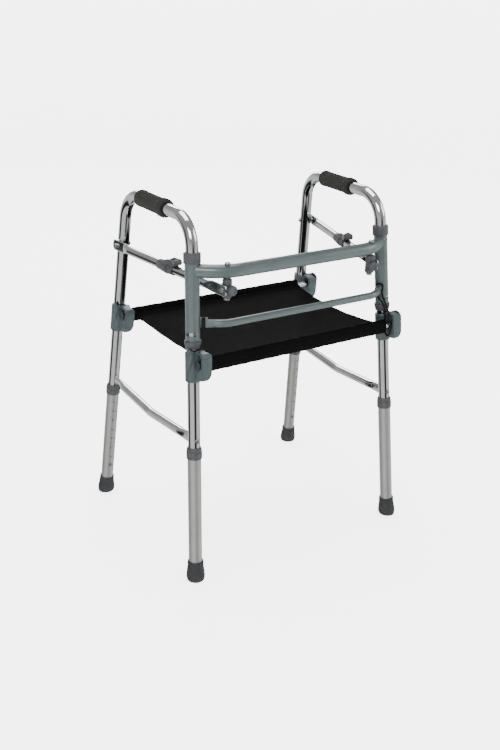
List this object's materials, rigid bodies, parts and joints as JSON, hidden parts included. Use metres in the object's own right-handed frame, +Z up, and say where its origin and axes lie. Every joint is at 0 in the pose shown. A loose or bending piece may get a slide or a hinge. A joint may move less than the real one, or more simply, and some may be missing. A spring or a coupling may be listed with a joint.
{
  "type": "folding walking frame with seat",
  "caption": "Folding pick-up walking frame with foam grips, folding braces, height-adjustable legs and a fabric seat clipped between its legs.",
  "frame": {"origin": "on the floor, at the middle of the object's outline", "axes": "+Z up; -Y to the front, where the two crossbars are; +X to the right of someone who faces the front from outside"},
  "size_m": [0.5916, 0.4758, 0.7867],
  "materials": {
    "bright_tube": "mirror-bright tube, plated or polished",
    "aluminium": "satin drawn tube",
    "paint": "smooth grey-green paint",
    "clip_plastic": "moulded blue-grey plastic",
    "grey_plastic": "moulded dark grey plastic",
    "zinc": "zinc plated",
    "rubber": "matte moulded rubber",
    "foam": "closed-cell foam",
    "seat_fabric": "plain woven",
    "elastic": "braided cover"
  },
  "bodies": {
    "front_frame": {"front_sleeve_left": "paint", "front_sleeve_right": "paint", "upper_crossbar": "paint", "lower_crossbar": "paint", "upper_ring_left": "grey_plastic", "upper_ring_right": "grey_plastic", "lower_ring_left": "grey_plastic", "lower_ring_right": "grey_plastic", "swivel_bolt_left": "zinc", "swivel_bolt_right": "zinc", "elastic_tether": "elastic"},
    "seat": {"seat_rod_front": "bright_tube", "seat_rod_rear": "bright_tube", "seat_cloth": "seat_fabric"},
    "left_side": {"handle_tube_left": "bright_tube", "foam_grip_left": "foam", "side_brace_left": "bright_tube", "brace_bolt_left": "zinc", "seat_clip_front_left": "clip_plastic", "seat_clip_rear_left": "clip_plastic"},
    "left_rear_link": {"brace_rear_link_left": "bright_tube", "knuckle_rear_left": "grey_plastic", "knuckle_pin_left": "zinc"},
    "left_front_link": {"brace_front_link_left": "bright_tube", "knuckle_front_left": "grey_plastic"},
    "left_swivel": {"swivel_bracket_left": "grey_plastic"},
    "left_front_latch": {"seat_latch_front_left": "clip_plastic"},
    "left_rear_latch": {"seat_latch_rear_left": "clip_plastic"},
    "left_front_leg": {"lower_leg_front_left": "aluminium", "collar_front_left": "grey_plastic", "rubber_tip_front_left": "rubber"},
    "left_rear_leg": {"lower_leg_rear_left": "aluminium", "collar_rear_left": "grey_plastic", "rubber_tip_rear_left": "rubber"},
    "left_front_button": {"snap_button_front_left": "zinc"},
    "left_rear_button": {"snap_button_rear_left": "zinc"},
    "right_side": {"handle_tube_right": "bright_tube", "foam_grip_right": "foam", "side_brace_right": "bright_tube", "brace_bolt_right": "zinc", "seat_clip_front_right": "clip_plastic", "seat_clip_rear_right": "clip_plastic"},
    "right_rear_link": {"brace_rear_link_right": "bright_tube", "knuckle_rear_right": "grey_plastic", "knuckle_pin_right": "zinc"},
    "right_front_link": {"brace_front_link_right": "bright_tube", "knuckle_front_right": "grey_plastic"},
    "right_swivel": {"swivel_bracket_right": "grey_plastic"},
    "right_front_latch": {"seat_latch_front_right": "clip_plastic"},
    "right_rear_latch": {"seat_latch_rear_right": "clip_plastic"},
    "right_front_leg": {"lower_leg_front_right": "aluminium", "collar_front_right": "grey_plastic", "rubber_tip_front_right": "rubber"},
    "right_rear_leg": {"lower_leg_rear_right": "aluminium", "collar_rear_right": "grey_plastic", "rubber_tip_rear_right": "rubber"},
    "right_front_button": {"snap_button_front_right": "zinc"},
    "right_rear_button": {"snap_button_rear_right": "zinc"}
  },
  "joints": [
    {"name": "left_fold", "type": "hinge", "parent": "front_frame", "child": "left_side", "pos_m": [-0.2664, -0.2184, 0], "axis": [-0.0388, -0.1064, -0.9936], "range_deg": [0, 80], "deforming": ["seat_rod_front", "seat_rod_rear", "seat_cloth", "elastic_tether"]},
    {"name": "right_fold", "type": "hinge", "parent": "front_frame", "child": "right_side", "pos_m": [0.2664, -0.2184, 0], "axis": [-0.0388, 0.1064, 0.9936], "range_deg": [0, 50]},
    {"name": "seat_lift", "type": "slide", "parent": "front_frame", "child": "seat", "axis": [0, 0, 1], "range_m": [0, 0.022], "deforming": ["elastic_tether"]},
    {"name": "left_rear_link_hinge", "type": "hinge", "parent": "left_side", "child": "left_rear_link", "pos_m": [-0.26471, 0.14553, 0.6474], "axis": [0.9787, 0.2053, 0], "range_deg": [0, 41.2]},
    {"name": "left_knuckle", "type": "hinge", "parent": "left_rear_link", "child": "left_front_link", "pos_m": [-0.22354, -0.05076, 0.65425], "axis": [-0.9787, -0.2053, 0], "range_deg": [0, 97.8]},
    {"name": "left_swivel_turn", "type": "hinge", "parent": "front_frame", "child": "left_swivel", "pos_m": [-0.1816, -0.1845, 0.631], "axis": [0, 0, -1], "range_deg": [0, 79.8]},
    {"name": "right_rear_link_hinge", "type": "hinge", "parent": "right_side", "child": "right_rear_link", "pos_m": [0.26471, 0.14553, 0.6474], "axis": [0.9787, -0.2053, 0], "range_deg": [0, 33.6]},
    {"name": "right_knuckle", "type": "hinge", "parent": "right_rear_link", "child": "right_front_link", "pos_m": [0.22354, -0.05076, 0.65425], "axis": [-0.9787, 0.2053, 0], "range_deg": [0, 79.3]},
    {"name": "right_swivel_turn", "type": "hinge", "parent": "front_frame", "child": "right_swivel", "pos_m": [0.1816, -0.1845, 0.631], "axis": [0, 0, 1], "range_deg": [0, 49]},
    {"name": "left_front_latch_hinge", "type": "hinge", "parent": "left_side", "child": "left_front_latch", "pos_m": [-0.24663, -0.18109, 0.50637], "axis": [-0.9992, 0, 0.039], "range_deg": [0, 75], "stiffness_Nm_per_rad": 0.01},
    {"name": "left_rear_latch_hinge", "type": "hinge", "parent": "left_side", "child": "left_rear_latch", "pos_m": [-0.25401, 0.14768, 0.50279], "axis": [-0.999, 0, 0.0437], "range_deg": [0, 75], "stiffness_Nm_per_rad": 0.01},
    {"name": "right_front_latch_hinge", "type": "hinge", "parent": "right_side", "child": "right_front_latch", "pos_m": [0.24663, -0.18109, 0.50637], "axis": [-0.9992, 0, -0.039], "range_deg": [0, 75], "stiffness_Nm_per_rad": 0.01},
    {"name": "right_rear_latch_hinge", "type": "hinge", "parent": "right_side", "child": "right_rear_latch", "pos_m": [0.25401, 0.14768, 0.50279], "axis": [-0.999, 0, -0.0437], "range_deg": [0, 75], "stiffness_Nm_per_rad": 0.01},
    {"name": "left_front_leg_slide", "type": "slide", "parent": "left_side", "child": "left_front_leg", "axis": [-0.0388, -0.1064, -0.9936], "range_m": [0, 0.1778], "deforming": ["snap_button_front_left"]},
    {"name": "left_rear_leg_slide", "type": "slide", "parent": "left_side", "child": "left_rear_leg", "axis": [-0.0435, 0.1063, -0.9934], "range_m": [0, 0.1778], "deforming": ["snap_button_rear_left"]},
    {"name": "right_front_leg_slide", "type": "slide", "parent": "right_side", "child": "right_front_leg", "axis": [0.0388, -0.1064, -0.9936], "range_m": [0, 0.1778], "deforming": ["snap_button_front_right"]},
    {"name": "right_rear_leg_slide", "type": "slide", "parent": "right_side", "child": "right_rear_leg", "axis": [0.0435, 0.1063, -0.9934], "range_m": [0, 0.1778], "deforming": ["snap_button_rear_right"]},
    {"name": "left_front_button_press", "type": "slide", "parent": "left_side", "child": "left_front_button", "axis": [0.0041, -0.9943, 0.1063], "range_m": [0, 0.0045], "stiffness_N_per_m": 800, "springref_m": -0.002},
    {"name": "left_rear_button_press", "type": "slide", "parent": "left_side", "child": "left_rear_button", "axis": [0.0046, 0.9943, 0.1062], "range_m": [0, 0.0045], "stiffness_N_per_m": 800, "springref_m": -0.002},
    {"name": "right_front_button_press", "type": "slide", "parent": "right_side", "child": "right_front_button", "axis": [-0.0041, -0.9943, 0.1063], "range_m": [0, 0.0045], "stiffness_N_per_m": 800, "springref_m": -0.002},
    {"name": "right_rear_button_press", "type": "slide", "parent": "right_side", "child": "right_rear_button", "axis": [-0.0046, 0.9943, 0.1062], "range_m": [0, 0.0045], "stiffness_N_per_m": 800, "springref_m": -0.002}
  ],
  "couplings": [
    {"joint": "right_fold", "follows": "left_fold", "ratio": 0.625},
    {"joint": "left_rear_link_hinge", "follows": "left_fold", "ratio": 0.514},
    {"joint": "left_knuckle", "follows": "left_fold", "ratio": 1.2216},
    {"joint": "left_swivel_turn", "follows": "left_fold", "ratio": 0.997},
    {"joint": "right_rear_link_hinge", "follows": "left_fold", "ratio": 0.41913},
    {"joint": "right_knuckle", "follows": "left_fold", "ratio": 0.99038},
    {"joint": "right_swivel_turn", "follows": "left_fold", "ratio": 0.61175},
    {"joint": "left_front_latch_hinge", "follows": "seat_lift", "rad_per_m": 59.4},
    {"joint": "left_rear_latch_hinge", "follows": "seat_lift", "rad_per_m": 59.4},
    {"joint": "right_front_latch_hinge", "follows": "seat_lift", "rad_per_m": 59.4},
    {"joint": "right_rear_latch_hinge", "follows": "seat_lift", "rad_per_m": 59.4}
  ]
}
